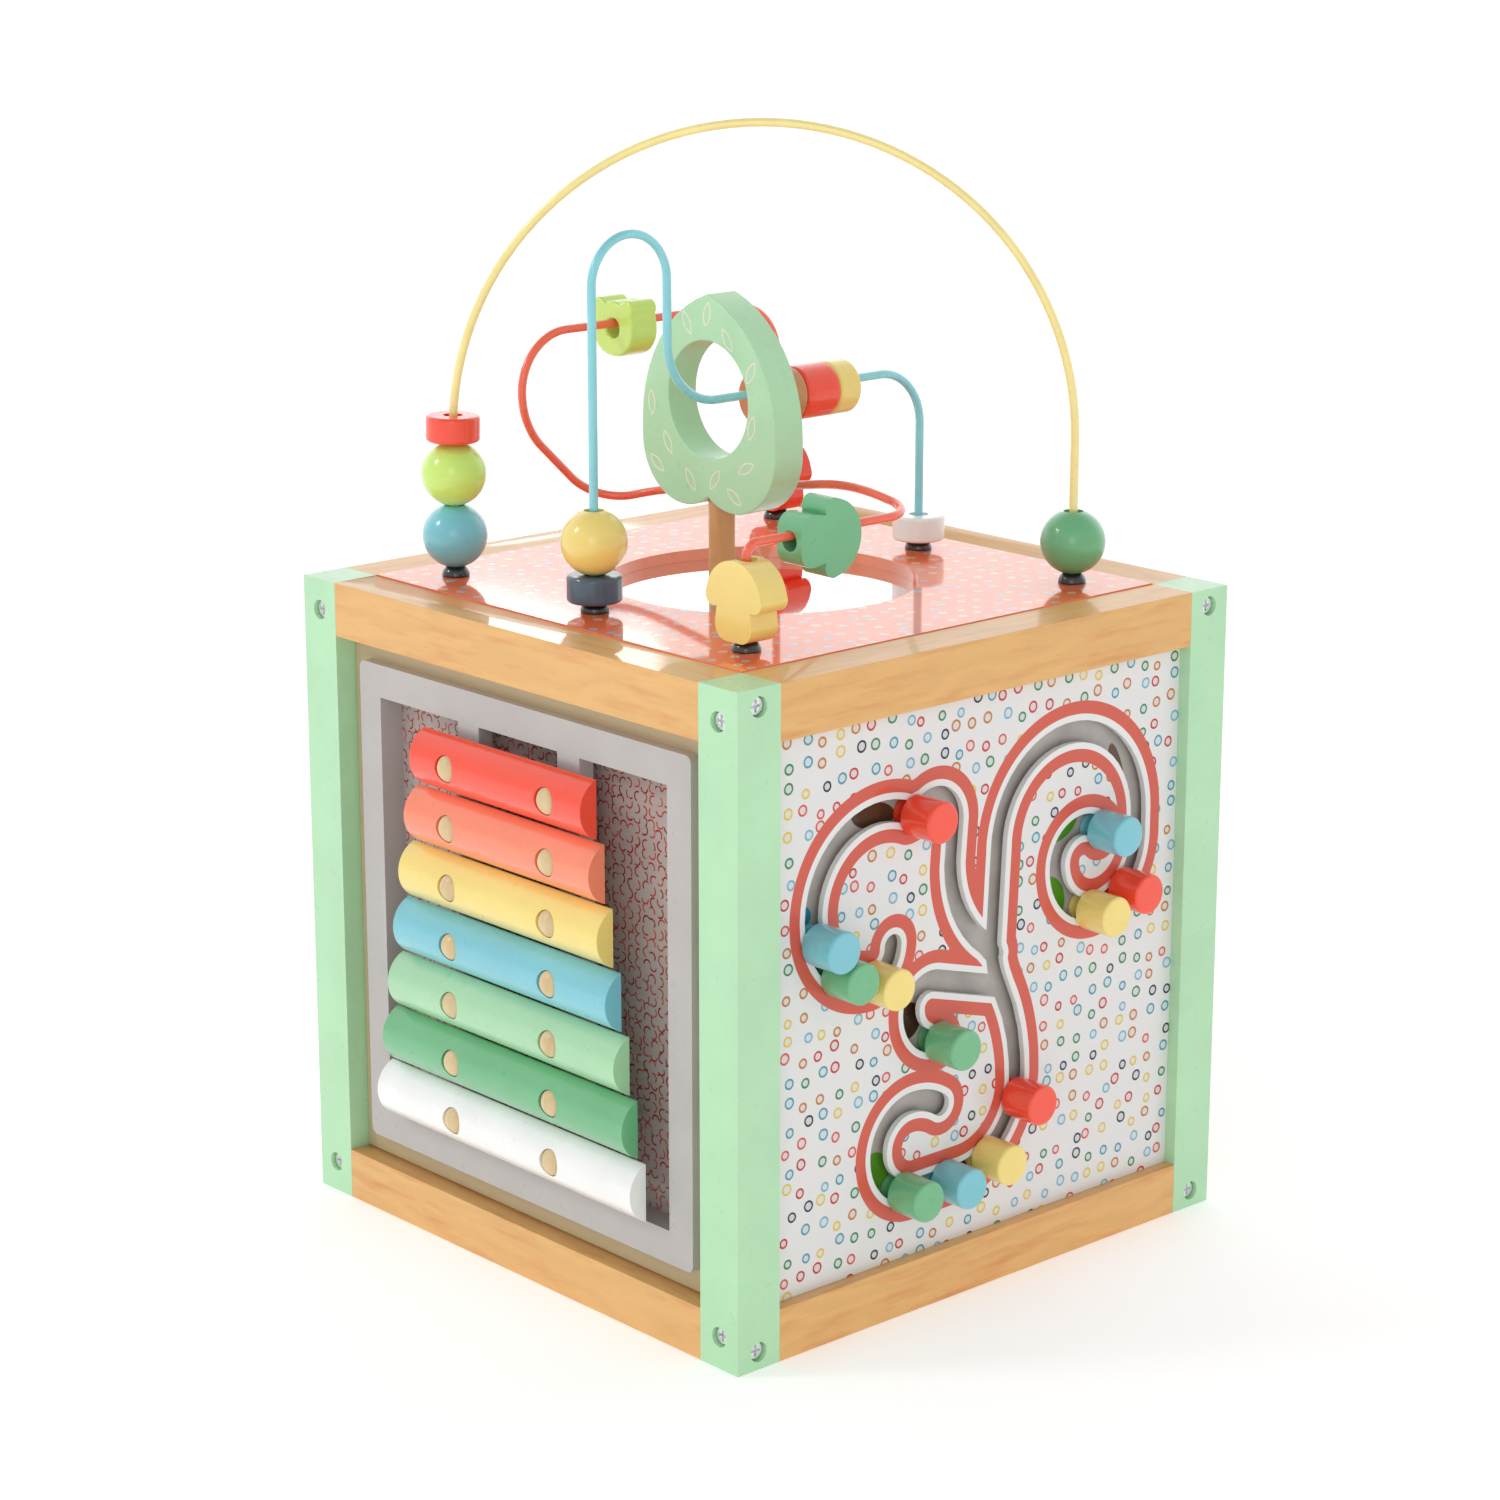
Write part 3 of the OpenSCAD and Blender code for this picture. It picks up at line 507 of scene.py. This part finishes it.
LOOKS = {
    "pine": lambda: wood("pine", "#EBB772", 1.5, "rails", 0.3),
    "plywood": lambda: wood("plywood", "#DCC9A2", 0.4, "x", 0.2, "#C9A877"),
    "natural_wood": lambda: wood("natural_wood", "#D9A46E", 0.9, "z", 0.3, "#B07444"),
    "mint_paint": lambda: painted("mint_paint", COLOURS["mint"], 0.35, 0.25),
    "grey_paint": lambda: painted("grey_paint", COLOURS["grey"], 0.15, 0.15),
    "coral_print": lambda: coral_panel("coral_print"),
    "ring_print": lambda: ring_panel("ring_print"),
    "arc_print": lambda: arc_panel("arc_print"),
    "maze_floor_paint": lambda: maze_floor("maze_floor_paint"),
    "mirror": lambda: mirror("mirror"),
    "steel": lambda: steel("steel"),
    "cap_black": lambda: moulded("cap_black", "#16191A"),
    "felt": lambda: felt("felt", "#B9B2AC"),
    "wire_yellow": lambda: enamelled_wire("wire_yellow", "#FFEC9C"),
    "wire_blue": lambda: enamelled_wire("wire_blue", "#8AD8E2"),
    "wire_red": lambda: enamelled_wire("wire_red", "#FF6A4C"),
}
for shade in ("red", "coral", "yellow", "blue", "green", "lime", "navy", "white"):
    LOOKS[shade + "_paint"] = lambda shade=shade: painted(shade + "_paint", COLOURS[shade], 0.75)

# Nodes whose look differs from their slot's
NODE_LOOKS = {
    "maze_board": lambda: maze_panel("maze_print"),
    "bar_mint": lambda: painted("bar_mint_paint", "#A9DBAD", 0.75),
    # The surround's plywood is darker and greyer than the plain plywood: painted shadow, standing in for the
    # shade that the top rail casts on it.
    "xylophone_surround": lambda: wood("plywood_painted_rail_shadow", "#C6B692", 0.4, "x", 0.1, "#B79A6C"),
    "bar_pegs": lambda: wood("peg_wood", "#E3CA9C", 1.0, "z", 0.2, "#C49A68"),
    "drum_wood": lambda: wood("bead_wood", "#C98F5C", 0.8, "y", 0.5, "#A5683B"),
}


def dress_nodes():
    """Gives every CAD node its material, and returns the materials by slot or node."""
    made = {}
    for node, piece in NODES.items():
        key = node if node in NODE_LOOKS else SLOT_OF[node]
        if key not in made:
            made[key] = (NODE_LOOKS.get(key) or LOOKS[key])()
        piece.material_slots[0].material = made[key]
    return made


# ---------------------------------------------------------------- soft edges

# Width of the rounding along the edges, in millimetres
EDGE_WIDTHS = {
    "corner_posts": 1.7, "top_rails": 1.0, "bottom_rails": 1.0, "xylophone_frame": 1.6,
    "xylophone_surround": 0.6, "tree_crown": 1.6, "mushroom_yellow": 1.5, "mushroom_green": 1.5,
    "mushroom_red": 1.5, "tulip_lime": 1.5, "top_panel": 0.4, "maze_board": 0.25, "wire_caps": 0.4,
    "assembly_screws": 0.2,
}
EDGE_WIDTHS.update((node, 0.9) for node in NODES if node.startswith("bar_") and node != "bar_pegs")
WELD_REACH = 0.002 * MM
FLAT_ANGLE = math.radians(0.5)
SHARP_ANGLE = math.radians(38)


def soften(piece, width):
    """Rounds the sharp edges of a CAD node without touching its mesh."""
    weld = piece.modifiers.new("weld", "WELD")
    weld.merge_threshold = WELD_REACH
    flat = piece.modifiers.new("flat", "DECIMATE")
    flat.decimate_type = "DISSOLVE"
    flat.angle_limit = FLAT_ANGLE
    bevel = piece.modifiers.new("bevel", "BEVEL")
    bevel.width = width
    bevel.segments = 3
    bevel.limit_method = "ANGLE"
    bevel.angle_limit = SHARP_ANGLE
    normals = piece.modifiers.new("normals", "WEIGHTED_NORMAL")
    normals.keep_sharp = False
    normals.weight = 60


def soften_nodes():
    """Rounds the edges of every node in the table."""
    for node, width in EDGE_WIDTHS.items():
        soften(NODES[node], width * MM)


# ---------------------------------------------------------------- round wires

FOOT = 100                                 # where the wires stand, from the middle of the cube
WIRE_FOOT_Z = 278.5

# Corners and bend radii of each wire, in millimetres
WIRE_ROUTES = {
    "arch_wire": ([(-FOOT, -FOOT, WIRE_FOOT_Z), (-FOOT, -FOOT, 508.02), (FOOT, FOOT, 508.02),
                   (FOOT, FOOT, WIRE_FOOT_Z)], [141.42, 141.42]),
    "loop_wire": ([(0, -FOOT, WIRE_FOOT_Z), (0, -FOOT, 465), (0, -57, 465), (0, -57, 386.8),
                   (0, FOOT, 386.8), (0, FOOT, WIRE_FOOT_Z)], [21.4, 21.4, 29, 26]),
    "winding_wire": ([(FOOT, -FOOT, WIRE_FOOT_Z), (FOOT, -FOOT, 346.6), (FOOT, 0, 346.6), (58, 0, 353.3),
                      (-72, 0, 331.7), (-FOOT, -16, 323.5), (-FOOT, -59.5, 365), (-FOOT, -59.5, 407.5),
                      (-FOOT, FOOT, 407.5), (-FOOT, FOOT, WIRE_FOOT_Z)], [6, 17, 120, 45, 24, 36, 27, 26]),
}
WIRE_RADIUS = 2 * MM
SHORTEST_STEP = 0.4 * MM                   # where one bend runs straight into the next


def rounded_path(corners, bends):
    """The corners' path with each inner corner replaced by an arc of its bend radius."""
    points = [corners[0]]
    for before, corner, after, radius in zip(corners, corners[1:], corners[2:], bends):
        u, v = (corner - before).normalized(), (after - corner).normalized()
        turn = u.angle(v)
        inward = (v - u * u.dot(v)).normalized()
        centre = corner - u * radius * math.tan(turn / 2) + inward * radius
        steps = max(4, math.ceil(math.degrees(turn) / 3))
        for i in range(steps + 1):
            angle = turn * i / steps
            point = centre + radius * (u * math.sin(angle) - inward * math.cos(angle))
            if (point - points[-1]).length > SHORTEST_STEP:
                points.append(point)
    return points + [corners[-1]]


def make_wire(node, corners, bends, material):
    """A round wire on the same route as the faceted one of the CAD model, which it replaces."""
    path = rounded_path([Vector(c) * MM for c in corners], [b * MM for b in bends])
    line = bpy.data.curves.new(node + "_round", "CURVE")
    line.dimensions = "3D"
    line.bevel_depth = WIRE_RADIUS
    line.bevel_resolution = 6
    line.use_fill_caps = True
    spline = line.splines.new("POLY")
    spline.points.add(len(path) - 1)
    for point, place in zip(spline.points, path):
        point.co = (*place, 1.0)
    piece = bpy.data.objects.new(node + "_round", line)
    bpy.context.scene.collection.objects.link(piece)
    line.materials.append(material)
    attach(piece, "cube")
    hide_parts(node)


# ---------------------------------------------------------------- leaves printed on the tree

# Middle along X and Z, and the tilt from upright, in millimetres and degrees
LEAVES = [
    (-13.5, 420.5, 28), (0, 425.5, -12), (13.5, 415.5, 34), (29, 402.5, -28), (29.5, 378, -14),
    (26, 359.5, -62), (18, 345.5, 56), (5, 351.5, -34), (-11.5, 349.5, 34), (-34.5, 354, 54),
    (-27, 364.5, 28), (-38, 381.5, 5),
]
LEAF_LENGTH = 12
LEAF_WIDTH = 5
LEAF_LINE = 0.75                           # width of the printed line
LEAF_TIP = 1.3                             # how much longer the line is at a leaf's tip
LEAF_RISE = 0.12
LEAF_SINK = 0.05


def leaf_outline(length, width, steps=10):
    """A pointed oval about the origin, drawn anticlockwise."""
    side = [(width / 2 * math.sin(math.pi * i / steps) ** 0.8, length * (i / steps - 0.5))
            for i in range(steps)]
    return side + [(-x, -z) for x, z in side]


def make_leaves(material):
    """Raised outlines of leaves on the crown's front face."""
    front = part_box("tree_crown")[0].y
    mesh = bmesh.new()
    outer = leaf_outline(LEAF_LENGTH, LEAF_WIDTH)
    inner = leaf_outline(LEAF_LENGTH - 2 * LEAF_TIP * LEAF_LINE, LEAF_WIDTH - 2 * LEAF_LINE)
    rings = (outer, -LEAF_SINK), (outer, LEAF_RISE), (inner, LEAF_RISE), (inner, -LEAF_SINK)
    for x, z, tilt in LEAVES:
        c, n = math.cos(math.radians(tilt)), math.sin(math.radians(tilt))

        def corner(point, rise):
            px, pz = point
            return mesh.verts.new(((x + px * c - pz * n) * MM, front - rise * MM, (z + px * n + pz * c) * MM))

        loops = [[corner(point, rise) for point in outline] for outline, rise in rings]
        for near, far in zip(loops, loops[1:] + loops[:1]):
            for i in range(len(near)):
                j = (i + 1) % len(near)
                mesh.faces.new((near[i], near[j], far[j], far[i]))
    bmesh.ops.recalc_face_normals(mesh, faces=mesh.faces)
    data = bpy.data.meshes.new("leaf_print")
    mesh.to_mesh(data)
    mesh.free()
    data.materials.append(material)
    piece = bpy.data.objects.new("leaf_print", data)
    bpy.context.scene.collection.objects.link(piece)
    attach(piece, "cube")


# ---------------------------------------------------------------- camera, floor and light

CAMERA_AZIMUTH = 47.964
CAMERA_ELEVATION = 15.058
CAMERA_PLACE = (1.24127, -1.12686, 0.67013)
CAMERA_LENS = 89.72


def make_camera():
    """The camera that the picture was taken with, from its place and the direction it looks in."""
    azimuth, elevation = math.radians(CAMERA_AZIMUTH), math.radians(CAMERA_ELEVATION)
    back = Vector((math.sin(azimuth) * math.cos(elevation), -math.cos(azimuth) * math.cos(elevation),
                   math.sin(elevation)))
    data = bpy.data.cameras.new("camera")
    data.sensor_width = 36
    data.lens = CAMERA_LENS
    data.clip_end = 60
    camera = bpy.data.objects.new("camera", data)
    camera.location = CAMERA_PLACE
    camera.rotation_euler = (-back).to_track_quat("-Z", "Y").to_euler()
    bpy.context.scene.collection.objects.link(camera)
    bpy.context.scene.camera = camera


FLOOR_HALF = 16
FLOOR_GAP = 0.2 * MM                       # keeps the floor out of the part's lowest faces


def make_floor():
    """A wide pale floor under the part."""
    data = bpy.data.meshes.new("floor")
    corners = [(x * FLOOR_HALF, y * FLOOR_HALF, 0) for x, y in ((-1, -1), (1, -1), (1, 1), (-1, 1))]
    data.from_pydata(corners, [], [(0, 1, 2, 3)])
    s = Shader("floor", Specular_IOR_Level=0.2)
    place = s.place()
    s.set(Base_Color=s.mix(s.noise(place, 4.0), colour("#FAFAFA"), colour("#FFFFFF")), Roughness=0.8)
    s.bump(s.noise(place, 500.0), 0.05 * MM, 0.3)
    s.set(Emission_Color=colour("#FFFFFF"), Emission_Strength=FLOOR_GLOW)
    data.materials.append(s.material)
    floor = bpy.data.objects.new("floor", data)
    floor.location.z = CAD_BOX[0].z - FLOOR_GAP
    bpy.context.scene.collection.objects.link(floor)


# Place, side of the square and power of each lamp
LAMPS = {"key": ((-1.4, -2.2, 2.2), 0.6, 15), "fill": ((2.4, -2.6, 1.3), 1.4, 9)}
LAMP_AIM = Vector((0, 0, 0.25))


def make_light(name, place, size, power):
    """A square area lamp that faces the part."""
    data = bpy.data.lights.new(name, "AREA")
    data.shape = "SQUARE"
    data.size = size
    data.energy = power
    light = bpy.data.objects.new(name, data)
    light.location = place
    light.rotation_euler = (LAMP_AIM - Vector(place)).to_track_quat("-Z", "Y").to_euler()
    bpy.context.scene.collection.objects.link(light)


# Spans of azimuth, elevation and height are low, high and soft edge, in degrees
FLOOR_GLOW = 0.30                          # light from the white sweep under the cube
ROOM_LIGHT = 0.80                          # brightness of the white room's walls
CEILING_SHADE = 0.40                       # how much darker the ceiling is
CEILING = (30, 60)                         # elevations between which the wall turns into it
BACK_LIGHT = 0.68                          # how much brighter the wall behind the cube is
BACK = {"azimuth": (-20, 110, 15), "elevation": (-5, 50, 12)}
WINDOW_LIGHT = 7.0                         # brightness that a window in that wall adds
WINDOW = {"azimuth": (49.4, 52.4, 0.15), "height": (27.40, 28.6, 0.04)}
WINDOW_SLANT = 0.28                        # height is elevation plus this share of azimuth


def make_world():
    """A white room, brighter behind the cube, with one window there."""
    world = bpy.data.worlds.new("studio")
    bpy.context.scene.world = world
    world.use_nodes = True
    s = NodeTree(world.node_tree)
    background = s.tree.nodes["Background"]
    x, y, z = s.split(s.node("TexCoord", {}, "Generated"))
    azimuth = s.math("ARCTAN2", s.math("MULTIPLY", x, -1.0), y)
    elevation = s.math("ARCSINE", z)

    def within(angle, low, high, soft):
        rise = s.range(angle, math.radians(low - soft), math.radians(low + soft))
        fall = s.range(angle, math.radians(high + soft), math.radians(high - soft))
        return s.math("MULTIPLY", rise, fall)

    back = s.math("MULTIPLY", within(azimuth, *BACK["azimuth"]), within(elevation, *BACK["elevation"]))
    height = s.math("MULTIPLY_ADD", azimuth, WINDOW_SLANT, elevation)
    window = s.math("MULTIPLY", within(azimuth, *WINDOW["azimuth"]), within(height, *WINDOW["height"]))
    ceiling = s.range(elevation, *map(math.radians, CEILING))
    strength = s.math("MULTIPLY_ADD", ceiling, -CEILING_SHADE, ROOM_LIGHT)
    strength = s.math("MULTIPLY_ADD", back, BACK_LIGHT, strength)
    strength = s.math("MULTIPLY_ADD", window, WINDOW_LIGHT, strength)
    background.inputs["Color"].default_value = (1, 1, 1, 1)
    s.feed(background.inputs["Strength"], strength)


def make_studio():
    """The room and its lamps, shown with plain colours."""
    bpy.context.scene.view_settings.view_transform = "Standard"
    make_world()
    for name, lamp in LAMPS.items():
        make_light(name, *lamp)


# ---------------------------------------------------------------- putting it together

make_camera()
looks = dress_nodes()
soften_nodes()
for wire, (route, radii) in WIRE_ROUTES.items():
    make_wire(wire, route, radii, looks[SLOT_OF[wire]])
make_leaves(painted("leaf_cream", "#F1F0DC", 0.2))
make_floor()
make_studio()
